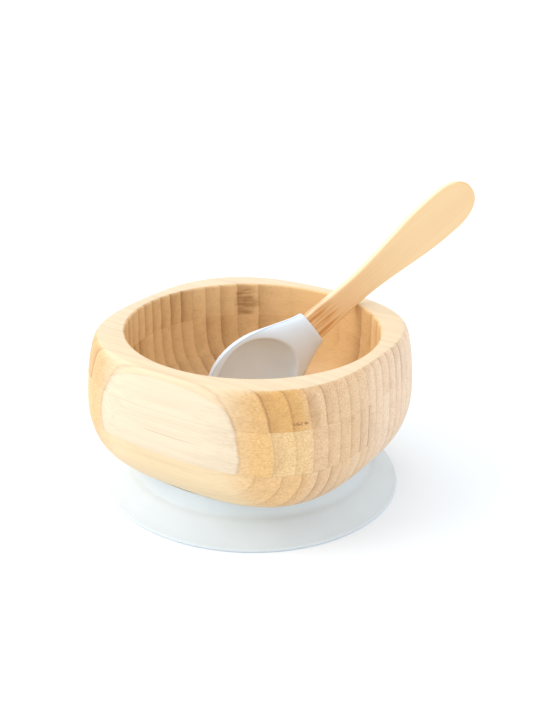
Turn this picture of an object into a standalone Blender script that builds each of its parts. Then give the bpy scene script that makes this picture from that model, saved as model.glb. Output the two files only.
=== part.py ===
"""A child's suction bowl: a laminated bamboo bowl on a silicone suction cup, with its spoon.

Units are metres, +Z is up and the table is z = 0. The origin is the middle of the box round
the whole object, on the table, so the bowl's own axis stands a little towards -Y of it. The
boards' grain runs along X, and their strips are glued side by side along Y.
"""

import math

import bmesh
import bpy
from mathutils import Matrix, Vector

# Driving dimensions -----------------------------------------------------------------------

GAP = 0.0003  # between pieces that touch
SIDES = 48  # facets round the bowl and the cup

BOWL_Y = -0.0160  # where the bowl's axis stands
RIM_Z = 0.0668
BELLY_Z = 0.0425  # height of the bowl's widest level
BELLY_HALF = 0.06015  # half the bowl's width there, flat side to flat side
RIM_HALF = 0.0575
UNDER_Z = 0.0130  # underside of the wood round the foot
UNDER_HALF = 0.0380
UNDER_POWER = 2.3  # how full the lower curve is
LEAN_POWER = 2.2  # how late the upper wall leans in
SQUARE_AT_RIM = 2.70  # superellipse exponent, 2 for a circle
SQUARE_AT_UNDER = 3.04
RIM_EDGE = (0.0015, 0.0034)  # rounding of the rim's outer edge, sideways and down

CAVITY_R = 0.0510
CAVITY_TURN_Z = 0.0500  # below this the cavity's wall curves in
FLOOR_Z = 0.0208
FLOOR_R = 0.0240
CAVITY_POWER = 2.4

GLUE_LINES = (0.0176, 0.0350, 0.0523)  # heights of the joints between the four boards

FOOT_R = 0.0360
FOOT_Z = 0.0071  # underside of the foot
GROOVE_DEPTH = 0.0015
GROOVE_Z = (0.0086, 0.0106)

CUP_R = 0.0613
LIP_R = 0.0560  # inner edge of the flat that seals on the table
LIP_THICK = 0.0014
CREASE_R = 0.0500
CREASE_Z = 0.0084
COLLAR_R = 0.0484
CHAMBER_R = 0.0460
CHAMBER_Z = 0.0052  # ceiling of the air chamber

TAB_HALF = 0.0080
TAB_LENGTH = 0.0135
TAB_Z = (0.0004, 0.0022)

SPOON_COLLAR = Vector((0.01087, 0.02837, 0.05942))  # collar's end, from the bowl's axis
SPOON_HEADING = math.radians(57.9)
SPOON_RISE = math.radians(35.1)
SPOON_ROLL = math.radians(81.2)
HANDLE_LENGTH = 0.0912
HANDLE_THICK = 0.0042
NECK_HALF = 0.0055
PADDLE_HALF = 0.0096
NECK_END = 0.0240
PADDLE_AT = 0.0720
TIP_ROUND = 0.0160
TANG_LENGTH = 0.0100
TANG_HALF = 0.0042
TANG_THICK = 0.0032

HEAD_LENGTH = 0.0540
HEAD_HALF = 0.0177
HEAD_WIDEST = 0.0320
HEAD_COLLAR_HALF = 0.0080
HEAD_FLARE = 1.35  # how late the collar flares out
HEAD_TIP_POWER = 2.1
HEAD_COLLAR_THICK = 0.0084
HEAD_WALL = 0.0020
HEAD_DEPTH = 0.0075
HEAD_STEPS = 11  # points across each side of a section
SOCKET_SIDE = 0.0002  # half height of the socket's narrow side walls
HEAD_BLEND = (0.0108, 0.0240)  # where the collar opens out into the dish


# Shared tools -----------------------------------------------------------------------------


def clear_scene():
    for thing in list(bpy.data.objects):
        bpy.data.objects.remove(thing)


def material(name, colour, roughness):
    made = bpy.data.materials.new(name)
    made.use_nodes = True
    shader = made.node_tree.nodes["Principled BSDF"]
    shader.inputs["Base Color"].default_value = (*colour, 1.0)
    shader.inputs["Roughness"].default_value = roughness
    shader.inputs["Metallic"].default_value = 0.0
    return made


def loft(name, rings, finish, closed=False):
    """Skin a row of rings of equal length into one closed body, and add it as an object."""
    body = bmesh.new()
    loops = [[body.verts.new(point) for point in ring] for ring in rings]
    pairs = list(zip(loops, loops[1:]))
    if closed:
        pairs.append((loops[-1], loops[0]))
    count = len(loops[0])
    for low, high in pairs:
        for i in range(count):
            j = (i + 1) % count
            body.faces.new((low[i], low[j], high[j], high[i]))
    if not closed:
        body.faces.new(loops[0])
        body.faces.new(loops[-1])
    bmesh.ops.recalc_face_normals(body, faces=body.faces)
    mesh = bpy.data.meshes.new(name)
    body.to_mesh(mesh)
    body.free()
    mesh.materials.append(finish)
    mesh.shade_smooth()
    mesh.set_sharp_from_angle(angle=math.radians(35))
    thing = bpy.data.objects.new(name, mesh)
    bpy.context.collection.objects.link(thing)
    return thing


def empty(name, place, parent=None):
    made = bpy.data.objects.new(name, None)
    made.location = place
    made.parent = parent
    bpy.context.collection.objects.link(made)
    return made


def ease(value, start, end):
    """A smooth step from 0 at start to 1 at end."""
    share = min(1.0, max(0.0, (value - start) / (end - start)))
    return share * share * (3.0 - 2.0 * share)


def quarter(share, power):
    """A superellipse's quarter: 1 at share 0, falling to 0 at share 1."""
    return max(0.0, 1.0 - min(1.0, share) ** power) ** (1.0 / power)


def levels(low, high, count):
    return [low + (high - low) * i / (count - 1) for i in range(count)]


# Bowl -------------------------------------------------------------------------------------


def outer_half(z):
    """Half the bowl's outside width, from flat side to flat side, at height z."""
    if z < BELLY_Z:
        share = (BELLY_Z - z) / (BELLY_Z - UNDER_Z)
        return UNDER_HALF + (BELLY_HALF - UNDER_HALF) * quarter(share, UNDER_POWER)
    share = (z - BELLY_Z) / (RIM_Z - BELLY_Z)
    return BELLY_HALF - (BELLY_HALF - RIM_HALF) * share**LEAN_POWER


def squareness(z):
    share = (z - UNDER_Z) / (RIM_Z - UNDER_Z)
    return SQUARE_AT_UNDER + (SQUARE_AT_RIM - SQUARE_AT_UNDER) * share


def cavity_radius(z):
    share = (CAVITY_TURN_Z - z) / (CAVITY_TURN_Z - FLOOR_Z)
    return FLOOR_R + (CAVITY_R - FLOOR_R) * quarter(max(0.0, share), CAVITY_POWER)


def outer_ring(z, inset=0.0):
    """The bowl's rounded-square outline at height z, drawn in by inset."""
    half, power = outer_half(z) - inset, squareness(z)
    ring = []
    for i in range(SIDES):
        turn = 2.0 * math.pi * i / SIDES
        across, along = abs(math.cos(turn)), abs(math.sin(turn))
        radius = half * (across**power + along**power) ** (-1.0 / power)
        ring.append((radius * math.cos(turn), radius * math.sin(turn), z))
    return ring


def round_ring(radius, z):
    turns = [2.0 * math.pi * i / SIDES for i in range(SIDES)]
    return [(radius * math.cos(turn), radius * math.sin(turn), z) for turn in turns]


def wall_board(name, low, high, finish):
    """A board that the cavity goes right through."""
    outside = [outer_ring(z) for z in levels(low, high, 4)]
    inside = [round_ring(cavity_radius(z), z) for z in levels(high, low, 4)]
    return loft(name, outside + inside, finish, closed=True)


def rim_board(name, low, finish):
    """The top board, whose outer edge is rounded over to the flat rim."""
    side, down = RIM_EDGE
    turns = [math.radians(turn) for turn in (0.0, 30.0, 58.0, 90.0)]
    outside = [outer_ring(z) for z in levels(low, RIM_Z - down, 4)[:-1]]
    outside += [
        outer_ring(RIM_Z - down * (1.0 - math.sin(turn)), side * (1.0 - math.cos(turn)))
        for turn in turns
    ]
    inside = [round_ring(cavity_radius(z), z) for z in levels(RIM_Z, low, 4)]
    return loft(name, outside + inside, finish, closed=True)


def floor_board(name, low, high, finish):
    """The board that holds the cavity's floor."""
    outside = [outer_ring(z) for z in levels(low, high, 5)]
    bends = (1.0, 0.72, 0.46, 0.26, 0.12, 0.04, 0.0)
    depths = [FLOOR_Z + (high - FLOOR_Z) * share for share in bends]
    inside = [round_ring(cavity_radius(z), z) for z in depths]
    return loft(name, outside + inside, finish)


def foot_board(name, high, finish):
    """The lowest board, with the turned foot and the groove that the cup's bead grips."""
    groove_r = FOOT_R - GROOVE_DEPTH
    rings = [
        round_ring(FOOT_R, FOOT_Z),
        round_ring(FOOT_R, GROOVE_Z[0]),
        round_ring(groove_r, GROOVE_Z[0]),
        round_ring(groove_r, GROOVE_Z[1]),
        round_ring(FOOT_R, GROOVE_Z[1]),
        round_ring(FOOT_R, UNDER_Z),
    ]
    rise = [0.0, 0.06, 0.2, 0.5, 1.0]
    rings += [outer_ring(UNDER_Z + (high - UNDER_Z) * share) for share in rise]
    return loft(name, rings, finish)


def make_bowl(bamboo, axis):
    first, second, third = GLUE_LINES
    half_gap = GAP / 2.0
    boards = [
        foot_board("bowl_board_foot", first - half_gap, bamboo),
        floor_board("bowl_board_floor", first + half_gap, second - half_gap, bamboo),
        wall_board("bowl_board_wall", second + half_gap, third - half_gap, bamboo),
        rim_board("bowl_board_rim", third + half_gap, bamboo),
    ]
    for board in boards:
        board.parent = axis


# Suction cup ------------------------------------------------------------------------------


def make_cup(silicone, axis):
    """The cup: a flared skirt, a collar round the bowl's foot and a web between them."""
    recess_r = FOOT_R + GAP
    bead_r = FOOT_R - GROOVE_DEPTH + GAP
    web_top = FOOT_Z - GAP
    collar_top = UNDER_Z - GAP
    profile = [
        (CHAMBER_R, CHAMBER_Z),
        (0.0495, 0.0046),
        (0.0528, 0.0030),
        (0.0550, 0.0011),
        (LIP_R, 0.0),
        (CUP_R - 0.0002, 0.0),
        (CUP_R, 0.0004),
        (CUP_R - 0.0002, LIP_THICK),
        (0.0578, 0.0030),
        (0.0543, 0.0054),
        (0.0517, 0.0074),
        (CREASE_R, CREASE_Z),
        (0.0492, 0.0096),
        (COLLAR_R, 0.0118),
        (COLLAR_R - 0.0010, collar_top),
        (recess_r, collar_top),
        (recess_r, GROOVE_Z[1] - GAP),
        (bead_r, GROOVE_Z[1] - 2 * GAP),
        (bead_r, GROOVE_Z[0] + 2 * GAP),
        (recess_r, GROOVE_Z[0] + GAP),
        (recess_r, web_top),
    ]
    cup = loft("suction_cup", [round_ring(r, z) for r, z in profile], silicone)
    cup.parent = axis


def make_tab(silicone, axis):
    """The pull tab that breaks the seal; it bends up about the cup's edge."""
    hinge = empty("tab_hinge", (0.0, CUP_R + GAP, (TAB_Z[0] + TAB_Z[1]) / 2.0), axis)
    low = TAB_Z[0] - hinge.location.z
    high = TAB_Z[1] - hinge.location.z
    bevel = 0.0004
    straight = TAB_LENGTH - TAB_HALF

    def outline(inset, z):
        half = TAB_HALF - inset
        turns = [math.pi * i / 16.0 for i in range(17)]
        end = [(half * math.cos(turn), straight + half * math.sin(turn), z) for turn in turns]
        return [(half, inset, z)] + end + [(-half, inset, z)]

    rings = [
        outline(bevel, low),
        outline(0.0, low + bevel),
        outline(0.0, high - bevel),
        outline(bevel, high),
    ]
    tab = loft("release_tab", rings, silicone)
    tab.parent = hinge


# Spoon ------------------------------------------------------------------------------------


def section(s, half, thick, corner):
    """A rounded-corner rectangle across the spoon at distance s along it."""
    top = thick / 2.0
    return [
        (s, half, -top + corner),
        (s, half, top - corner),
        (s, half - corner, top),
        (s, -half + corner, top),
        (s, -half, top - corner),
        (s, -half, -top + corner),
        (s, -half + corner, -top),
        (s, half - corner, -top),
    ]


def handle_half(s):
    """Half the handle's width at s: a slim neck, then a paddle with a round end."""
    half = NECK_HALF + (PADDLE_HALF - NECK_HALF) * ease(s, NECK_END, PADDLE_AT)
    half += 0.0006 * (1.0 - ease(s, 0.0, NECK_END))
    start = HANDLE_LENGTH - TIP_ROUND
    return half * quarter(max(0.0, s - start) / TIP_ROUND, UNDER_POWER)


def make_handle(bamboo, spoon):
    corner = 0.0009
    shoulder = GAP
    tang = [section(s, TANG_HALF, TANG_THICK, 0.0006) for s in (-TANG_LENGTH, shoulder)]
    stations = levels(shoulder, HANDLE_LENGTH - TIP_ROUND, 10)
    stations += [HANDLE_LENGTH - TIP_ROUND * share for share in (0.75, 0.5, 0.28, 0.12, 0.03)]
    blade = [section(s, handle_half(s), HANDLE_THICK, corner) for s in stations]
    handle = loft("spoon_handle", tang + blade, bamboo)
    handle.parent = spoon


def half_turns():
    """Angles from one edge of the head, under its belly, to the other."""
    return [math.pi * i / (HEAD_STEPS - 1) for i in range(HEAD_STEPS)]


def head_half(s):
    """Half the head's width at distance s from the collar's end towards the tip."""
    if s < HEAD_WIDEST:
        share = s / HEAD_WIDEST
        growth = math.sin(share * math.pi / 2.0) ** HEAD_FLARE
        return HEAD_COLLAR_HALF + (HEAD_HALF - HEAD_COLLAR_HALF) * growth
    return HEAD_HALF * quarter((s - HEAD_WIDEST) / (HEAD_LENGTH - HEAD_WIDEST), HEAD_TIP_POWER)


def head_ring(s):
    """One section of the head: the belly below, and the dish or the collar's back above."""
    half = head_half(s)
    dish = ease(s, *HEAD_BLEND)
    end = quarter(max(0.0, s - HEAD_WIDEST) / (HEAD_LENGTH - HEAD_WIDEST), 2.0)
    rim = dish * HANDLE_THICK / 2.0
    below = HEAD_COLLAR_THICK / 2.0 * (1.0 - dish) + (HEAD_DEPTH + HEAD_WALL) * dish * end
    below = max(below, HEAD_WALL)
    above = HEAD_COLLAR_THICK / 2.0 * (1.0 - dish) - max(0.0, below - HEAD_WALL) * dish
    edge = min(0.5 * half, 0.0003 + (HEAD_WALL - 0.0003) * dish)
    turns = half_turns()
    belly = [(-s, half * math.cos(t), rim - below * math.sin(t) ** 0.8) for t in turns]
    inner = half - edge
    top = [(-s, inner * math.cos(t), rim + above * math.sin(t) ** 0.8) for t in reversed(turns)]
    return belly + top


def socket_ring(s, half, thick):
    """A flat oval across the socket, with a point for each point of the head's rings."""
    turns = half_turns()
    below = [(-s, half * math.cos(t), -thick / 2.0 * math.sin(t) ** 0.2) for t in turns]
    above = [(-s, half * math.cos(t), thick / 2.0 * math.sin(t) ** 0.2) for t in reversed(turns)]
    below[0] = (-s, half, -SOCKET_SIDE)
    below[-1] = (-s, -half, -SOCKET_SIDE)
    above[0] = (-s, -half, SOCKET_SIDE)
    above[-1] = (-s, half, SOCKET_SIDE)
    return below + above


def make_head(silicone, spoon):
    body = levels(0.0, HEAD_WIDEST, 10)
    end = HEAD_LENGTH - HEAD_WIDEST
    body += [HEAD_WIDEST + end * share for share in (0.3, 0.55, 0.75, 0.88, 0.96, 0.995)]
    rings = [head_ring(s) for s in reversed(body)]
    half = TANG_HALF + GAP
    thick = TANG_THICK + 2.0 * GAP
    rings += [socket_ring(s, half, thick) for s in (0.0, TANG_LENGTH + GAP)]
    head = loft("spoon_head", rings, silicone)
    head.parent = spoon


def make_spoon(bamboo, silicone, axis):
    """The spoon on its edge: head on the cavity's floor, handle on the rim's inner edge."""
    spoon = empty("spoon", SPOON_COLLAR, axis)
    turn = Matrix.Rotation(SPOON_HEADING, 4, "Z")
    turn = turn @ Matrix.Rotation(-SPOON_RISE, 4, "Y")
    turn = turn @ Matrix.Rotation(SPOON_ROLL, 4, "X")
    spoon.rotation_euler = turn.to_euler()
    make_handle(bamboo, spoon)
    make_head(silicone, spoon)


# Assembly ---------------------------------------------------------------------------------


def main():
    clear_scene()
    bowl_bamboo = material("bowl_bamboo", (0.86, 0.66, 0.40), 0.45)
    handle_bamboo = material("handle_bamboo", (0.84, 0.62, 0.36), 0.5)
    cup_silicone = material("cup_silicone", (0.66, 0.68, 0.70), 0.55)
    spoon_silicone = material("spoon_silicone", (0.66, 0.69, 0.72), 0.5)
    axis = empty("bowl_axis", (0.0, BOWL_Y, 0.0))
    make_bowl(bowl_bamboo, axis)
    make_cup(cup_silicone, axis)
    make_tab(cup_silicone, axis)
    make_spoon(handle_bamboo, spoon_silicone, axis)


main()
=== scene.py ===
"""Looks of a child's suction bowl with its spoon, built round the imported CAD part.

Lengths are metres in the part's own frame, angles are radians. The materials work in millimetres
from each piece's own origin. For bamboo, X runs along the grain, Y across the glued strips and
Z up through the boards.
"""

import math

import bmesh
import bpy
from mathutils import Matrix, Vector


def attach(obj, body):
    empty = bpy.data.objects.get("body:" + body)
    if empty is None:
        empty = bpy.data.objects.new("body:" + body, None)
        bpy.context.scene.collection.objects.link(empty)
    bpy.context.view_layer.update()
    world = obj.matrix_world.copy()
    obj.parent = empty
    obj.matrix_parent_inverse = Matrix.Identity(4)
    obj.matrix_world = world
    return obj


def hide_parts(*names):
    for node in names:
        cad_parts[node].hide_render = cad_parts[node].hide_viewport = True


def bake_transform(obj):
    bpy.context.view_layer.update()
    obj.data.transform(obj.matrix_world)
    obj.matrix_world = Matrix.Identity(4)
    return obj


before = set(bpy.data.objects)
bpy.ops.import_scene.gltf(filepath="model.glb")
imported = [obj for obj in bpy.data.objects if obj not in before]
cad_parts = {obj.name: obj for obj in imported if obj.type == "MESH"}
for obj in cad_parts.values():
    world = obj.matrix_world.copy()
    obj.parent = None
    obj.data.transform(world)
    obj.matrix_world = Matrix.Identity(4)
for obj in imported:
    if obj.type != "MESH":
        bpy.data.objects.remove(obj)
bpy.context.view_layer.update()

# Dimensions of the CAD part -----------------------------------------------------------------

BOWL_Y = -0.0160
RIM_Z = 0.0668
BELLY_Z = 0.0425
BELLY_HALF = 0.06015
RIM_HALF = 0.0575
UNDER_Z = 0.0130
UNDER_HALF = 0.0380
UNDER_POWER = 2.3
LEAN_POWER = 2.2
SQUARE_AT_RIM = 2.70
SQUARE_AT_UNDER = 3.04
RIM_EDGE = (0.0015, 0.0034)  # rounding of the rim's outer edge, sideways and down

CAVITY_R = 0.0510
CAVITY_TURN_Z = 0.0500
FLOOR_Z = 0.0208
FLOOR_R = 0.0240
CAVITY_POWER = 2.4

GLUE_LINES = (0.0176, 0.0350, 0.0523)
FOOT_R = 0.0360
FOOT_Z = 0.0071
GROOVE_DEPTH = 0.0015
GROOVE_Z = (0.0086, 0.0106)

CUP_R = 0.0613
LIP_R = 0.0560
CHAMBER_R = 0.0460
CHAMBER_Z = 0.0052

TAB_HALF = 0.0080
TAB_LENGTH = 0.0135
TAB_Z = (0.0004, 0.0022)
TAB_ROOT = 0.0003  # gap between the cup's edge and the tab's hinge in the CAD part

SPOON_COLLAR = Vector((0.01087, 0.02837, 0.05942))
SPOON_HEADING = math.radians(57.9)
SPOON_RISE = math.radians(35.1)
SPOON_ROLL = math.radians(81.2)
HANDLE_LENGTH = 0.0912
HANDLE_THICK = 0.0042
NECK_HALF = 0.0055
PADDLE_HALF = 0.0096
NECK_END = 0.0240
PADDLE_AT = 0.0720
TIP_ROUND = 0.0160
TANG_LENGTH = 0.0100
TANG_HALF = 0.0042
TANG_THICK = 0.0032

HEAD_LENGTH = 0.0540
HEAD_HALF = 0.0177
HEAD_WIDEST = 0.0320
HEAD_COLLAR_HALF = 0.0080
HEAD_FLARE = 1.35
HEAD_TIP_POWER = 2.1
HEAD_COLLAR_THICK = 0.0084
HEAD_WALL = 0.0020
HEAD_DEPTH = 0.0075
HEAD_BLEND = (0.0108, 0.0240)
DISH_MIDDLE = 0.0305  # the dish is this file's own: the CAD part has a simpler one
DISH_TO_COLLAR = 0.0180
DISH_TO_TIP = 0.0217
DISH_HALF = 0.0159
DISH_POWER = 1.85
DISH_DEPTH = 0.0086

# Finer shape than the CAD part has ----------------------------------------------------------

SIDES = 256
GAP = 0.0003  # clearance between pieces that come apart
HAIR = 0.00002  # gap left where boards are glued
BRIM_EDGE = 0.0010  # rounding of the rim's inner edge
FOOT_EDGE = 0.0006
HANDLE_EDGE = 0.0011
TANG_EDGE = 0.0006
NECK_SWELL = 0.0006  # how much wider the handle gets where it meets the collar
TAB_EDGE = 0.0007
TAB_SUNK = 0.0006  # how far the tab's root runs into the cup's edge
TAB_TIP = 0.0009  # length of the tab's end that gets closer stations
RIBS_AT = (0.0062, 0.0085, 0.0108)  # grip ribs across the tab, from its root
RIB_HALF = 0.0007
RIB_HEIGHT = 0.0004
RIB_REACH = 0.0052  # half a rib's length


# Mesh tools ---------------------------------------------------------------------------------


def ease(value, start, end):
    """A smooth step from 0 at start to 1 at end."""
    share = min(1.0, max(0.0, (value - start) / (end - start)))
    return share * share * (3.0 - 2.0 * share)


def quarter(share, power):
    """A superellipse's quarter: 1 at share 0, falling to 0 at share 1."""
    return max(0.0, 1.0 - min(1.0, max(0.0, share)) ** power) ** (1.0 / power)


def levels(low, high, count):
    return [low + (high - low) * i / (count - 1) for i in range(count)]


def skin(name, rings, finish, closed=False, sharp=40.0):
    """Skin rings of equal length into one closed mesh; a flat end is fanned to its middle."""
    body = bmesh.new()
    loops = [[body.verts.new(point) for point in ring] for ring in rings]
    pairs = list(zip(loops, loops[1:]))
    if closed:
        pairs.append((loops[-1], loops[0]))
    count = len(loops[0])
    for low, high in pairs:
        for i in range(count):
            j = (i + 1) % count
            body.faces.new((low[i], low[j], high[j], high[i]))
    if not closed:
        for loop in (loops[0], loops[-1]):
            middle = Vector((0.0, 0.0, 0.0))
            for vert in loop:
                middle += vert.co / count
            hub = body.verts.new(middle)
            for i in range(count):
                body.faces.new((loop[i], loop[(i + 1) % count], hub))
    bmesh.ops.recalc_face_normals(body, faces=body.faces)
    mesh = bpy.data.meshes.new(name)
    body.to_mesh(mesh)
    body.free()
    mesh.materials.append(finish)
    mesh.shade_smooth()
    mesh.set_sharp_from_angle(angle=math.radians(sharp))
    thing = bpy.data.objects.new(name, mesh)
    bpy.context.scene.collection.objects.link(thing)
    return thing


def round_ring(radius, z):
    turns = [2.0 * math.pi * i / SIDES for i in range(SIDES)]
    return [(radius * math.cos(turn), radius * math.sin(turn), z) for turn in turns]


def fillet(radius, steps=6):
    """(sideways, down) offsets of a quarter round, from the side up to the top."""
    turns = [math.pi / 2.0 * i / steps for i in range(steps + 1)]
    return [(radius * (1.0 - math.cos(t)), radius * (1.0 - math.sin(t))) for t in turns]


def smooth_line(points, steps):
    """A Catmull-Rom curve through (r, z) points, with steps pieces between each two."""
    ends = [points[0], *points, points[-1]]
    line = []
    for a, b, c, d in zip(ends, ends[1:], ends[2:], ends[3:]):
        for i in range(steps):
            t = i / steps
            pair = []
            for p, q, r, s in zip(a, b, c, d):
                bend = 2 * p - 5 * q + 4 * r - s
                twist = -p + 3 * q - 3 * r + s
                pair.append(0.5 * (2 * q + (r - p) * t + bend * t * t + twist * t**3))
            line.append(tuple(pair))
    line.append(points[-1])
    return line


# Materials ----------------------------------------------------------------------------------


class Graph:
    """A material's node tree, with one short call for each kind of node used."""

    def __init__(self, name, **sockets):
        self.material = bpy.data.materials.new(name)
        self.material.use_nodes = True
        self.tree = self.material.node_tree
        self.shader = self.tree.nodes["Principled BSDF"]
        for socket, value in sockets.items():
            self.shader.inputs[socket.replace("_", " ")].default_value = value
        self.place = self.node("ShaderNodeTexCoord")
        self.mm = self.vector("SCALE", self.place.outputs["Object"], scale=1000.0)

    def node(self, kind, **settings):
        made = self.tree.nodes.new(kind)
        for key, value in settings.items():
            setattr(made, key, value)
        return made

    def put(self, socket, value):
        if isinstance(value, bpy.types.NodeSocket):
            self.tree.links.new(value, socket)
        else:
            socket.default_value = value

    def math(self, operation, a, b=0.0, c=0.0, clamp=False):
        made = self.node("ShaderNodeMath", operation=operation, use_clamp=clamp)
        for socket, value in zip(made.inputs, (a, b, c)):
            self.put(socket, value)
        return made.outputs[0]

    def total(self, *values, clamp=False):
        result = values[0]
        for i, value in enumerate(values[1:]):
            last = i == len(values) - 2
            result = self.math("ADD", result, value, clamp=clamp and last)
        return result

    def product(self, *values):
        result = values[0]
        for value in values[1:]:
            result = self.math("MULTIPLY", result, value)
        return result

    def vector(self, operation, a, b=(0.0, 0.0, 0.0), scale=1.0):
        made = self.node("ShaderNodeVectorMath", operation=operation)
        self.put(made.inputs[0], a)
        if operation == "SCALE":
            made.inputs["Scale"].default_value = scale
        elif operation != "LENGTH":
            self.put(made.inputs[1], b)
        return made.outputs["Value" if operation == "LENGTH" else "Vector"]

    def split(self, value):
        made = self.node("ShaderNodeSeparateXYZ")
        self.put(made.inputs[0], value)
        return made.outputs

    def noise(self, scales, detail=2.0, roughness=0.5, shift=0.0):
        """Noise from 0 to 1 whose cells are 1 / scales millimetres long each way."""
        place = self.vector("MULTIPLY", self.mm, scales)
        place = self.vector("ADD", place, (shift, shift * 0.7, shift * 1.3))
        made = self.node("ShaderNodeTexNoise")
        self.put(made.inputs["Vector"], place)
        made.inputs["Scale"].default_value = 1.0
        made.inputs["Detail"].default_value = detail
        made.inputs["Roughness"].default_value = roughness
        return made.outputs["Fac"]

    def waver(self, scales, detail, reach, shift=0.0):
        """Noise centred on 0, in all reach wide."""
        noise = self.noise(scales, detail, shift=shift)
        return self.math("MULTIPLY_ADD", noise, reach, -reach / 2.0)

    def cells(self, scales, smoothness=0.3):
        """Distance from the middle of the nearest cell."""
        made = self.node("ShaderNodeTexVoronoi", feature="SMOOTH_F1")
        self.put(made.inputs["Vector"], self.vector("MULTIPLY", self.mm, scales))
        made.inputs["Scale"].default_value = 1.0
        made.inputs["Smoothness"].default_value = smoothness
        return made.outputs["Distance"]

    def chance(self, value, seed):
        """A fixed random number from 0 to 1 for each whole value."""
        made = self.node("ShaderNodeTexWhiteNoise", noise_dimensions="1D")
        self.put(made.inputs["W"], self.math("ADD", value, seed))
        return made.outputs["Value"]

    def step(self, value, low, high, start=0.0, end=1.0):
        """A smooth step from start at low to end at high."""
        made = self.node("ShaderNodeMapRange", interpolation_type="SMOOTHSTEP")
        names = ("From Min", "From Max", "To Min", "To Max")
        self.put(made.inputs["Value"], value)
        for name, number in zip(names, (low, high, start, end)):
            made.inputs[name].default_value = number
        return made.outputs["Result"]

    def blend(self, share, a, b):
        made = self.node("ShaderNodeMix", data_type="RGBA")
        self.put(made.inputs["Factor"], share)
        self.put(made.inputs[6], a if isinstance(a, bpy.types.NodeSocket) else (*a, 1.0))
        self.put(made.inputs[7], b if isinstance(b, bpy.types.NodeSocket) else (*b, 1.0))
        return made.outputs[2]

    def bump(self, height, strength, distance):
        made = self.node("ShaderNodeBump")
        self.put(made.inputs["Height"], height)
        made.inputs["Strength"].default_value = strength
        made.inputs["Distance"].default_value = distance
        self.put(self.shader.inputs["Normal"], made.outputs["Normal"])


# Tones of the bamboo
CREAM = (0.92, 0.80, 0.60)
BROWN = (0.34, 0.15, 0.045)
RUST = (0.60, 0.25, 0.05)
FIBRE = (0.60, 0.32, 0.11)
ORANGE = (0.860, 0.500, 0.170)
END_FRONT = (0.775, 0.435, 0.125)  # end grain by the bowl's front side
END_MIDDLE = (0.785, 0.535, 0.310)
# The back end grain is paler: partly the strips' own tone, partly a painted sheen
END_BACK_WITH_SHEEN = (0.865, 0.645, 0.445)  # end grain by its back side
WALL_FRONT = (0.840, 0.575, 0.270)
FLOOR_FRONT = (0.820, 0.520, 0.230)
FACE = (0.785, 0.615, 0.375)  # strips seen along the grain
PALE_FACE = (0.780, 0.635, 0.425)
LEAF = (0.785, 0.650, 0.465)  # outermost strip, seen along the grain
LEAF_CUT = (0.805, 0.490, 0.185)  # the same strip where its grain is cut across
INNER = (0.850, 0.575, 0.280)  # inside of the cavity


# Where the tones change, in millimetres from the bowl's axis or above its base
FRONT_TONE_ENDS = (-44.0, -37.0)
# From here toward the back the end grain turns paler, partly with a painted sheen
BACK_TONE_STARTS = (-16.0, 0.0)
PALE_STRIPS_START = (-36.0, -14.0)
LEAF_GLUE = (-51.3, -50.9)  # glue line behind the outermost strip
LEAF_TOP = (57.5, 65.5)  # heights over which the outermost strip runs out toward the rim
CAVITY_SIDE = (51.2, 52.2)
CAVITY_BOTTOM = (19.5, 20.5)
END_GRAIN = (0.14, 0.50)  # how squarely a surface has to cross the grain to show its ends


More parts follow.
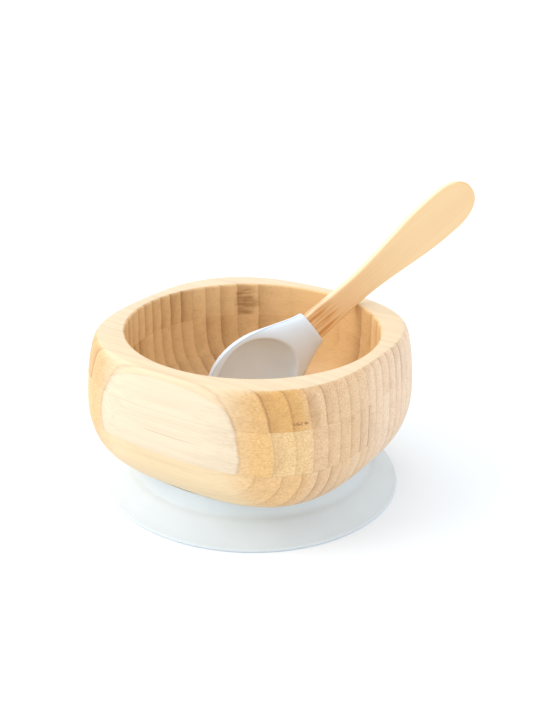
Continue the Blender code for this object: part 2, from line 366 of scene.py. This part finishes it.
def bamboo(name, pitch, shift, seed, front=END_FRONT, middle=END_MIDDLE, face=FACE,
           leaf=None, marks=(), contrast=1.0, sides=0.0, dark=BROWN):
    """Laminated bamboo: strips across Y, grain along X, specks where the grain is cut across.

    The glue lines lie at shift and every pitch from it. The outermost strip shows in front of
    y = leaf. Contrast scales what tells the bowl's strips and zones apart, sides paints a
    highlight by making surfaces that face along Y paler, and dark is the colour of lines,
    streaks and marks.
    """
    g = Graph(name, Coat_Weight=0.10, Coat_Roughness=0.32)
    _, y, z = g.split(g.mm)[:3]
    wander = g.waver((0.015, 0.02, 0.08), 1.0, 0.9, seed)
    ragged = g.waver((0.05, 0.25, 0.7), 2.0, 0.36, seed)
    across = g.total(y, wander, ragged)
    count = g.math("DIVIDE", g.math("SUBTRACT", across, shift), pitch)
    index = g.math("FLOOR", count)
    share = g.math("FRACT", count)
    first = g.chance(index, seed + 0.5)
    second = g.chance(index, seed + 37.5)

    facing = g.split(g.vector("ABSOLUTE", g.place.outputs["Normal"]))
    cut = g.step(facing[0], *END_GRAIN)
    whole = g.math("SUBTRACT", 1.0, cut)
    radius = g.vector("LENGTH", g.vector("MULTIPLY", g.mm, (1.0, 1.0, 0.0)))
    inside = g.product(g.step(radius, *CAVITY_SIDE, 1.0, 0.0), g.step(z, *CAVITY_BOTTOM), contrast)
    outside = g.math("SUBTRACT", 1.0, inside)

    streak = g.noise((0.012, 1.3, 1.3), 3.0, 0.65, seed)
    wide = g.noise((0.006, 0.30, 0.30), 2.0, 0.5, seed + 5.0)
    dots = g.step(g.cells((0.04, 1.5, 1.5)), 0.16, 0.58, 1.0, 0.0)
    grit = g.noise((0.05, 2.2, 2.2), 2.0, 0.6, seed + 9.0)
    mottle = g.noise((0.03, 0.16, 0.16), 2.0, 0.5, seed + 3.0)

    # Ground tone: end grain, then long grain, then the cavity, then the outermost strip
    colour = g.blend(g.step(y, *FRONT_TONE_ENDS), front, middle)
    # Toward the back the end grain turns paler: partly its own tone, partly a painted sheen
    colour = g.blend(g.step(y, *BACK_TONE_STARTS, 0.0, contrast), colour, END_BACK_WITH_SHEEN)
    if leaf:
        colour = g.blend(g.step(across, *LEAF_GLUE, 1.0, 0.0), colour, LEAF_CUT)
    light = g.product(first, first, g.step(y, *PALE_STRIPS_START, 0.0, 0.26), contrast)
    colour = g.blend(light, colour, CREAM)
    colour = g.blend(g.math("MULTIPLY", whole, 0.9), colour, face)
    inner = g.blend(g.product(second, cut, 0.20), INNER, BROWN)
    colour = g.blend(inside, colour, inner)
    if leaf:
        sway = g.waver((0.02, 0.02, 0.07), 1.0, 0.4)
        sway = g.total(y, sway, g.step(z, *LEAF_TOP, 0.0, 1.5), -leaf)
        colour = g.blend(g.step(sway, -0.12, 0.12, 1.0, 0.0), colour, LEAF)
    # Painted highlight: surfaces that face along Y, such as the handle's narrow side edges, are
    # made paler as if lit
    if sides:
        colour = g.blend(g.math("MULTIPLY", g.step(facing[1], 0.4, 0.9), sides), colour, CREAM)

    # Pale grit and brown specks: the cut ends of the fibres
    pale = g.product(g.step(grit, 0.5, 0.72), cut, 0.28 * contrast)
    colour = g.blend(pale, colour, CREAM)
    specks = g.math("MULTIPLY_ADD", dots, 0.45, g.step(grit, 0.28, 0.50, 0.32, 0.0))
    specks = g.product(specks, cut, contrast, g.math("MULTIPLY_ADD", outside, 0.75, 0.25))
    colour = g.blend(specks, colour, FIBRE)

    # Glue lines, the dense side of each strip, streaks and marks, all in the dark tone
    near = g.product(g.math("MINIMUM", share, g.math("SUBTRACT", 1.0, share)), pitch)
    line = g.product(
        g.step(near, 0.02, 0.50, 1.0, 0.0),
        g.math("MULTIPLY_ADD", g.product(second, second), 0.36, 0.08),
        g.math("MULTIPLY_ADD", cut, 0.6, 0.4 * contrast),
        g.math("MULTIPLY_ADD", outside, 0.7, 0.3),
    )
    dense = g.product(
        g.math("POWER", g.math("SUBTRACT", 1.0, share), 2.0),
        g.math("MULTIPLY_ADD", second, 0.26, 0.10),
        g.math("MULTIPLY_ADD", inside, 1.1, 1.0),
        cut,
        contrast,
    )
    if leaf:
        rim_of_leaf = g.step(g.math("ABSOLUTE", sway), 0.0, 0.3, 0.10, 0.0)
        line = g.math("ADD", line, g.math("MULTIPLY", rim_of_leaf, outside))
    stripes = g.math("MULTIPLY", g.step(streak, 0.42, 0.78), 0.13)
    clouds = g.math("MULTIPLY", g.step(wide, 0.40, 0.75), 0.09)
    patches = g.product(g.step(mottle, 0.5, 0.8), cut, 0.12)
    deep = g.product(g.math("POWER", second, 3.0), cut, 0.11)
    brown = g.total(line, dense, stripes, clouds, patches, deep)
    for centre, radii, depth, grain in marks:
        off = g.vector("DIVIDE", g.vector("SUBTRACT", g.mm, centre), radii)
        spot = g.step(g.vector("LENGTH", off), 0.55, 1.0, 1.0, 0.0)
        if grain:
            blotch = g.step(g.noise(grain, 2.0, 0.6, seed + 7.0), 0.40, 0.62)
            spot = g.math("MULTIPLY", spot, blotch)
        brown = g.math("MULTIPLY_ADD", spot, depth, brown)
    colour = g.blend(g.math("MINIMUM", brown, 0.9), colour, dark)
    g.put(g.shader.inputs["Base Color"], colour)

    g.put(g.shader.inputs["Roughness"], g.math("MULTIPLY_ADD", streak, 0.22, 0.36))
    relief = g.total(g.product(streak, -1.0), g.product(line, -1.2), g.product(dots, cut, -0.6))
    g.bump(relief, 0.22, 0.00012)
    return g.material


def silicone(name, colour, shade, scatter):
    """Soft matt silicone: a fine satin grain, with faint handling marks."""
    g = Graph(name, Subsurface_Weight=scatter, Subsurface_Scale=0.004,
              Sheen_Weight=0.12, Sheen_Roughness=0.45, Coat_Weight=0.0)
    g.shader.inputs["Subsurface Radius"].default_value = (0.9, 0.95, 1.0)
    cloud = g.noise((0.09, 0.09, 0.09), 3.0, 0.55)
    grain = g.noise((3.2, 3.2, 3.2), 2.0, 0.6)
    dust = g.step(g.noise((0.9, 0.9, 0.9), 4.0, 0.7, 11.0), 0.66, 0.86)
    mixed = g.blend(g.math("MULTIPLY", g.step(cloud, 0.3, 0.7), 0.55), colour, shade)
    mixed = g.blend(g.math("MULTIPLY", dust, 0.10), mixed, (0.93, 0.95, 0.97))
    g.put(g.shader.inputs["Base Color"], mixed)
    rough = g.math("MULTIPLY_ADD", cloud, 0.14, g.math("MULTIPLY_ADD", grain, 0.06, 0.38))
    g.put(g.shader.inputs["Roughness"], rough)
    g.bump(g.math("MULTIPLY_ADD", cloud, 1.5, grain), 0.16, 0.00006)
    return g.material


# Bowl ---------------------------------------------------------------------------------------


def outer_half(z):
    """Half the bowl's outside width, from flat side to flat side, at height z."""
    if z < BELLY_Z:
        share = (BELLY_Z - z) / (BELLY_Z - UNDER_Z)
        return UNDER_HALF + (BELLY_HALF - UNDER_HALF) * quarter(share, UNDER_POWER)
    share = (z - BELLY_Z) / (RIM_Z - BELLY_Z)
    return BELLY_HALF - (BELLY_HALF - RIM_HALF) * share**LEAN_POWER


def squareness(z):
    share = (z - UNDER_Z) / (RIM_Z - UNDER_Z)
    return SQUARE_AT_UNDER + (SQUARE_AT_RIM - SQUARE_AT_UNDER) * share


def cavity_radius(z):
    share = (CAVITY_TURN_Z - z) / (CAVITY_TURN_Z - FLOOR_Z)
    return FLOOR_R + (CAVITY_R - FLOOR_R) * quarter(share, CAVITY_POWER)


def outer_ring(z, inset=0.0):
    """The bowl's rounded-square outline at height z, drawn in by inset."""
    half, power = outer_half(z) - inset, squareness(z)
    ring = []
    for i in range(SIDES):
        turn = 2.0 * math.pi * i / SIDES
        across, along = abs(math.cos(turn)), abs(math.sin(turn))
        radius = half * (across**power + along**power) ** (-1.0 / power)
        ring.append((radius * math.cos(turn), radius * math.sin(turn), z))
    return ring


def rim_board(finish):
    low = GLUE_LINES[2] + HAIR
    aside, below = RIM_EDGE
    outside = [outer_ring(z) for z in levels(low, RIM_Z - below, 14)[:-1]]
    outside += [outer_ring(RIM_Z - below * d, aside * s) for s, d in fillet(1.0, 10)]
    inside = [round_ring(CAVITY_R + side, RIM_Z - down) for side, down in fillet(BRIM_EDGE, 6)]
    inside = inside[::-1] + [round_ring(CAVITY_R, z) for z in levels(RIM_Z - 0.003, low, 8)]
    return skin("bamboo_rim_board", outside + inside, finish, closed=True)


def wall_board(finish):
    low, high = GLUE_LINES[1] + HAIR, GLUE_LINES[2] - HAIR
    outside = [outer_ring(z) for z in levels(low, high, 16)]
    inside = [round_ring(cavity_radius(z), z) for z in levels(high, low, 16)]
    return skin("bamboo_wall_board", outside + inside, finish, closed=True)


def floor_board(finish):
    """The board with the cavity's floor, which rises to the wall in an even curve."""
    low, high = GLUE_LINES[0] + HAIR, GLUE_LINES[1] - HAIR
    start = math.asin(((CAVITY_TURN_Z - high) / (CAVITY_TURN_Z - FLOOR_Z)) ** 1.2)
    turns = levels(start, math.pi / 2.0, 22)
    depths = [CAVITY_TURN_Z - (CAVITY_TURN_Z - FLOOR_Z) * math.sin(t) ** (1 / 1.2) for t in turns]
    outside = [outer_ring(z) for z in levels(low, high, 16)]
    inside = [round_ring(cavity_radius(z), z) for z in depths[:-1]]
    inside += [round_ring(FLOOR_R * share, FLOOR_Z) for share in (1.0, 0.7, 0.4, 0.15)]
    under = [outer_ring(low, 0.010), outer_ring(low, 0.030)]
    return skin("bamboo_floor_board", under[::-1] + outside + inside, finish)


def foot_board(finish):
    """The lowest board: a turned foot with a groove, under the start of the bowl's curve."""
    groove = FOOT_R - GROOVE_DEPTH
    rings = [round_ring(FOOT_R * share, FOOT_Z) for share in (0.2, 0.6, 0.9)]
    rings += [round_ring(FOOT_R - s, FOOT_Z + d) for s, d in reversed(fillet(FOOT_EDGE, 5))]
    rings += [round_ring(FOOT_R, GROOVE_Z[0]), round_ring(groove, GROOVE_Z[0])]
    rings += [round_ring(groove, GROOVE_Z[1]), round_ring(FOOT_R, GROOVE_Z[1])]
    rings.append(round_ring(FOOT_R, UNDER_Z))
    high = GLUE_LINES[0] - HAIR
    rings += [outer_ring(UNDER_Z + (high - UNDER_Z) * (i / 14.0) ** 1.8) for i in range(15)]
    rings += [outer_ring(high, 0.012), outer_ring(high, 0.034)]
    return skin("bamboo_foot_board", rings, finish)


# Suction cup and tab ------------------------------------------------------------------------


def under_z(x, y):
    """Height of the bowl's rounded-square underside over (x, y)."""
    power = SQUARE_AT_UNDER
    half = (abs(x) ** power + abs(y) ** power) ** (1.0 / power)
    reach = max(0.0, (half - UNDER_HALF) / (BELLY_HALF - UNDER_HALF))
    return BELLY_Z - (BELLY_Z - UNDER_Z) * quarter(reach, UNDER_POWER)


def cup(finish):
    """The cup: lip, skirt, crease, bead and web, and a collar that hugs the bowl's underside."""
    recess, bead = FOOT_R + GAP, FOOT_R - GROOVE_DEPTH + GAP
    under = [(CHAMBER_R - 0.004, CHAMBER_Z), (CHAMBER_R, CHAMBER_Z), (0.0495, 0.0046),
             (0.0528, 0.0030), (0.0550, 0.0011), (LIP_R, 0.0)]
    lip = [(CUP_R - 0.0006, 0.0), (CUP_R - 0.00018, 0.00018), (CUP_R, 0.0006),
           (CUP_R - 0.0001, 0.0010), (CUP_R - 0.0005, 0.0014), (CUP_R - 0.0011, 0.00165)]
    skirt = [(CUP_R - 0.0011, 0.00165), (0.0578, 0.0030), (0.0543, 0.0054), (0.0517, 0.0074),
             (0.0501, 0.0085), (0.0492, 0.0098), (0.0487, 0.0117)]
    top = [(0.0485, 0.0129), (0.0484, 0.0140), (0.0482, 0.0146), (0.0478, 0.0149),
           (0.0460, 0.0150), (0.0430, 0.0150), (0.0400, 0.0150), (recess + 0.0004, 0.0127)]
    inner = [(recess, 0.0123), (recess, GROOVE_Z[1] - GAP), (bead, GROOVE_Z[1] - 2 * GAP),
             (bead, GROOVE_Z[0] + 2 * GAP), (recess, GROOVE_Z[0] + GAP),
             (recess, FOOT_Z - GAP), (0.030, FOOT_Z - GAP), (0.015, FOOT_Z - GAP)]
    floor = [(0.015, CHAMBER_Z), (0.030, CHAMBER_Z)]
    line = floor + smooth_line(under, 5) + smooth_line(lip, 3) + smooth_line(skirt, 6)[1:]
    line += top + inner
    rings = []
    for r, z in line:
        ring = round_ring(r, z)
        if (r, z) in top:
            ring = [(x, y, min(z, under_z(x, y) - GAP)) for x, y, z in ring]
        rings.append(ring)
    return skin("silicone_suction_cup", rings, finish)


def tab(finish):
    """The pull tab at the back: a rounded tongue with three grip ribs across its top."""
    root = CUP_R - TAB_SUNK
    length = TAB_ROOT + TAB_SUNK + TAB_LENGTH
    low, high = TAB_Z
    rows = []
    steps = [length * i / 44.0 for i in range(45)]
    steps = [s for s in steps if s < length - TAB_TIP]
    steps += [length - TAB_TIP * (1.0 - k) ** 2 for k in (0.0, 0.2, 0.4, 0.6, 0.8, 0.93, 0.999)]
    for s in steps:
        beyond = s - (length - TAB_HALF)
        half = TAB_HALF * quarter(beyond / TAB_HALF, 2.0)
        slope = 0.0 if beyond <= 0 else beyond / max(1e-6, math.sqrt(TAB_HALF**2 - beyond**2))
        lean = 1.0 / math.sqrt(1.0 + slope * slope)
        rib = 0.0
        for at in RIBS_AT:
            rib = max(rib, 1.0 - ((s - at) / RIB_HALF) ** 2)
        across = lip_points(half, TAB_EDGE, lean, 24)
        top, bottom = [], []
        for x, edge in across:
            drop = TAB_EDGE - math.sqrt(max(0.0, TAB_EDGE**2 - (TAB_EDGE - edge) ** 2))
            width = max(0.0, 1.0 - (abs(x) / RIB_REACH) ** 4)
            lift = RIB_HEIGHT * rib**0.5 * width**0.5
            top.append((x, root + s, high - drop + lift))
            bottom.append((x, root + s, low + drop))
        rows.append(top + bottom[::-1])
    return skin("silicone_release_tab", rows, finish, sharp=55.0)


# Spoon --------------------------------------------------------------------------------------


def lip_points(half, edge, lean, count):
    """(across, distance in from the outline) along a section, closer together at its edges."""
    corner = min(0.5, edge / max(1e-5, lean * half))
    marks = [0.0, 0.02, 0.08, 0.18, 0.33, 0.52, 0.75, 1.0]
    inner = [corner + (1.0 - corner) * i / (count // 2) for i in range(1, count // 2)]
    shares = [corner * m for m in marks] + inner
    left = [(-half * (1.0 - share), half * share * lean) for share in shares]
    right = [(half * (1.0 - share), half * share * lean) for share in reversed(shares)]
    middle = [(0.0, half * lean)]
    return [(a, min(edge, b)) for a, b in left + middle + right]


def lean_of(outline, s, small=0.00005):
    """How square-on the outline runs at s: 1 along the spoon, 0 where it crosses the tip."""
    slope = (outline(s + small) - outline(s - small)) / (2.0 * small)
    return 1.0 / math.sqrt(1.0 + slope * slope)


def handle_half(s):
    """Half the handle's width at s: a slim neck, then a paddle with a round end."""
    half = NECK_HALF + (PADDLE_HALF - NECK_HALF) * ease(s, NECK_END, PADDLE_AT)
    half += NECK_SWELL * (1.0 - ease(s, 0.0, NECK_END))
    start = HANDLE_LENGTH - TIP_ROUND
    return half * quarter((s - start) / TIP_ROUND, UNDER_POWER)


def handle(finish):
    """The bamboo handle: a flat blade with softened edges, and the tang inside the collar."""
    start = HANDLE_LENGTH - TIP_ROUND
    turns = [math.pi / 2.0 * i / 30.0 for i in range(1, 30)]
    stations = levels(0.00004, start, 60) + [start + TIP_ROUND * math.sin(t) for t in turns]
    stations.append(HANDLE_LENGTH - 0.000004)
    rings = []
    for s in (-TANG_LENGTH, -TANG_LENGTH + TANG_EDGE, 0.00004):
        inset = 0.0005 if s == -TANG_LENGTH else 0.0
        top = []
        for y, edge in lip_points(TANG_HALF - inset, TANG_EDGE, 1.0, 24):
            drop = TANG_EDGE - math.sqrt(max(0.0, TANG_EDGE**2 - (TANG_EDGE - edge) ** 2))
            top.append((s, y, TANG_THICK / 2.0 - inset - drop))
        rings.append(top + [(s, y, -z) for s, y, z in reversed(top)])
    for s in stations:
        half = max(handle_half(s), 0.00004)
        lean = lean_of(handle_half, min(s, HANDLE_LENGTH - 0.0001))
        top = []
        for y, edge in lip_points(half, HANDLE_EDGE, lean, 24):
            drop = HANDLE_EDGE - math.sqrt(max(0.0, HANDLE_EDGE**2 - (HANDLE_EDGE - edge) ** 2))
            top.append((s, y, HANDLE_THICK / 2.0 - drop))
        rings.append(top + [(s, y, -z) for s, y, z in reversed(top)])
    return skin("bamboo_spoon_handle", rings, finish, sharp=50.0)


def head_half(s):
    """Half the head's width at distance s from the collar's end towards the tip."""
    if s < HEAD_WIDEST:
        growth = math.sin(max(0.0, s) / HEAD_WIDEST * math.pi / 2.0) ** HEAD_FLARE
        return HEAD_COLLAR_HALF + (HEAD_HALF - HEAD_COLLAR_HALF) * growth
    return HEAD_HALF * quarter((s - HEAD_WIDEST) / (HEAD_LENGTH - HEAD_WIDEST), HEAD_TIP_POWER)


def dish_depth(s, y):
    """How far the dish lies below the head's rim at (s, y): steep sides and a rounded bottom."""
    reach = (s - DISH_MIDDLE) / (DISH_TO_TIP if s > DISH_MIDDLE else DISH_TO_COLLAR)
    far = (abs(reach) ** DISH_POWER + abs(y / DISH_HALF) ** DISH_POWER) ** (1.0 / DISH_POWER)
    return DISH_DEPTH * ease(1.02 - far, 0.0, 0.12) * max(0.0, 1.04 - far**2.2) ** 0.62


def head(finish):
    """The silicone head: a flared collar round the handle that opens into a soft-edged dish."""
    stations = levels(0.0, HEAD_WIDEST, 56)
    turns = [math.pi / 2.0 * i / 34.0 for i in range(1, 34)]
    span = HEAD_LENGTH - HEAD_WIDEST
    stations += [HEAD_WIDEST + span * math.sin(t) for t in turns] + [HEAD_LENGTH - 0.000004]
    rings = []
    for s in reversed(stations):
        half = max(head_half(s), 0.00004)
        lean = lean_of(head_half, min(s, HEAD_LENGTH - 0.0001)) if s > HEAD_WIDEST else 1.0
        dish = ease(s, *HEAD_BLEND)
        end = quarter((s - HEAD_WIDEST) / span, 2.0)
        rim = dish * HANDLE_THICK / 2.0
        thick = HEAD_COLLAR_THICK / 2.0 * (1.0 - dish)
        below = max(HEAD_WALL, thick + (HEAD_DEPTH + HEAD_WALL) * dish * end)
        edge = 0.0004 + 0.0005 * dish
        crisp = 0.0004 * (1.0 - ease(s, 0.0, 0.0004) ** 0.5)
        top, belly = [], []
        for y, inward in lip_points(half - crisp, edge, lean, 60):
            drop = edge - math.sqrt(max(0.0, edge**2 - (edge - inward) ** 2))
            arch = max(0.0, 1.0 - (y / half) ** 2)
            up = rim + thick * arch**0.4 - dish_depth(s, y) - drop
            down = rim - below * arch**0.4 - (2.0 * edge - drop) * (1.0 - arch) * dish
            top.append((-s, y, max(up, down + 0.0009) - crisp * arch**0.4))
            belly.append((-s, y, down + crisp * arch**0.4))
        rings.append(top + belly[::-1])
    socket_half, socket_thick = TANG_HALF + GAP, TANG_THICK / 2.0 + GAP
    for s in (0.0, TANG_LENGTH + GAP):
        top = []
        for y, _ in lip_points(socket_half, TANG_EDGE, 1.0, 60):
            top.append((-s, y, socket_thick * max(0.1, 1.0 - (y / socket_half) ** 2) ** 0.1))
        rings.append(top + [(x, y, -z) for x, y, z in reversed(top)])
    return skin("silicone_spoon_head", rings, finish, sharp=50.0)


# Assembly -----------------------------------------------------------------------------------


def place_on(thing, body, node, matrix):
    thing.matrix_world = matrix
    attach(thing, body)
    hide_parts(node)


# Marks in the bamboo: centre, radii, depth of tone, and the scale of its grain or None
KNOT = ((-31.5, 40.9, 59.0), (13.0, 4.6, 8.0), 0.40, (0.06, 0.10, 0.46))
KNOT_STAIN = ((-31.5, 40.3, 57.5), (17.0, 3.6, 14.0), 0.18, None)
PORES = ((49.0, -43.0, 54.9), (5.0, 3.2, 0.95), 0.95, (0.3, 1.1, 0.9))
STAIN = ((52.0, -38.3, 59.0), (9.0, 2.6, 9.5), 0.20, None)
GRAIN_LINE = ((3.0, -60.0, 43.8), (17.0, 3.0, 0.36), 0.26, None)
NECK = ((-2.0, 0.0, 0.0), (20.0, 12.0, 6.0), 0.85, (0.04, 0.75, 0.6))
NECK_TINT = ((-10.0, 0.0, 0.0), (70.0, 25.0, 12.0), 0.13, None)

rim_bamboo = bamboo("bamboo_rim", 5.58, -56.6, 3.0, face=PALE_FACE, leaf=-56.5,
                    marks=(KNOT, KNOT_STAIN, PORES, STAIN))
wall_bamboo = bamboo("bamboo_wall", 5.58, -56.5, 8.0, face=PALE_FACE, leaf=-56.5,
                     front=WALL_FRONT, marks=(GRAIN_LINE,))
floor_bamboo = bamboo("bamboo_floor", 5.45, -54.1, 12.0, front=FLOOR_FRONT)
foot_bamboo = bamboo("bamboo_foot", 5.45, -51.0, 16.0)
# sides gives the handle's narrow side edges a painted highlight
handle_bamboo = bamboo("bamboo_handle", 60.0, -30.0, 21.0, contrast=0.0, sides=0.65,
                       front=ORANGE, middle=ORANGE, face=(0.87, 0.62, 0.34),
                       marks=(NECK, NECK_TINT), dark=RUST)
cup_silicone = silicone("silicone_cup", (0.640, 0.690, 0.710), (0.615, 0.665, 0.685), 0.10)
spoon_silicone = silicone("silicone_spoon", (0.725, 0.800, 0.870), (0.695, 0.770, 0.840), 0.12)

axis = Matrix.Translation((0.0, BOWL_Y, 0.0))
place_on(rim_board(rim_bamboo), "bowl", "bowl_board_rim", axis)
place_on(wall_board(wall_bamboo), "bowl", "bowl_board_wall", axis)
place_on(floor_board(floor_bamboo), "bowl", "bowl_board_floor", axis)
place_on(foot_board(foot_bamboo), "bowl", "bowl_board_foot", axis)
place_on(cup(cup_silicone), "suction_base", "suction_cup", axis)

pull_tab = tab(cup_silicone)
pull_tab.matrix_world = axis
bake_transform(pull_tab)
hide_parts("release_tab")

turn = Matrix.Rotation(SPOON_HEADING, 4, "Z") @ Matrix.Rotation(-SPOON_RISE, 4, "Y")
turn = turn @ Matrix.Rotation(SPOON_ROLL, 4, "X")
spoon = axis @ Matrix.Translation(SPOON_COLLAR) @ turn
place_on(handle(handle_bamboo), "spoon", "spoon_handle", spoon)
place_on(head(spoon_silicone), "spoon", "spoon_head", spoon)


# Floor, light and camera --------------------------------------------------------------------


def floor():
    """A wide, round, pale floor."""
    g = Graph("floor_white", Roughness=0.7, Specular_IOR_Level=0.1)
    tone = g.noise((0.01, 0.01, 0.01), 2.0)
    tone = g.blend(tone, (0.905, 0.945, 0.985), (0.915, 0.955, 0.99))
    g.put(g.shader.inputs["Base Color"], tone)
    body = bmesh.new()
    bmesh.ops.create_circle(body, cap_ends=True, cap_tris=True, segments=96, radius=9.0)
    mesh = bpy.data.meshes.new("floor")
    body.to_mesh(mesh)
    body.free()
    mesh.materials.append(g.material)
    made = bpy.data.objects.new("floor", mesh)
    bpy.context.scene.collection.objects.link(made)


def lamp(name, kind, energy, colour, place, aim=(0.0, BOWL_Y, 0.03), **settings):
    data = bpy.data.lights.new(name, kind)
    data.energy = energy
    data.color = colour
    for key, value in settings.items():
        setattr(data, key, value)
    made = bpy.data.objects.new(name, data)
    made.location = place
    made.rotation_euler = (Vector(aim) - Vector(place)).to_track_quat("-Z", "Y").to_euler()
    bpy.context.scene.collection.objects.link(made)


floor()
lamp("key_sky", "SUN", 0.75, (1.0, 0.985, 0.96), (-1.0, -0.9, 1.05), angle=math.radians(40))
lamp("side_box", "AREA", 1.6, (1.0, 0.99, 0.97), (-0.75, -0.55, 0.55), shape="RECTANGLE",
     size=0.7, size_y=0.6)
lamp("left_box", "AREA", 1.5, (1.0, 0.99, 0.98), (-0.95, 0.10, 0.34), shape="RECTANGLE",
     size=0.6, size_y=0.5)

world = bpy.data.worlds.new("studio")
world.use_nodes = True
backdrop = world.node_tree.nodes["Background"]
backdrop.inputs["Color"].default_value = (0.955, 0.975, 1.0, 1.0)
backdrop.inputs["Strength"].default_value = 1.15
bpy.context.scene.world = world

view = bpy.context.scene.view_settings
view.view_transform = "Standard"
view.look = "None"

data = bpy.data.cameras.new("camera")
data.sensor_fit = "HORIZONTAL"
data.sensor_width = 36.0
data.lens = 70.31
data.clip_end = 50.0
camera = bpy.data.objects.new("camera", data)
camera.location = (0.21481, -0.33990, 0.21949)
camera.rotation_euler = [math.radians(a) for a in (66.9217, -0.6687, 33.0056)]
bpy.context.scene.collection.objects.link(camera)
bpy.context.scene.camera = camera
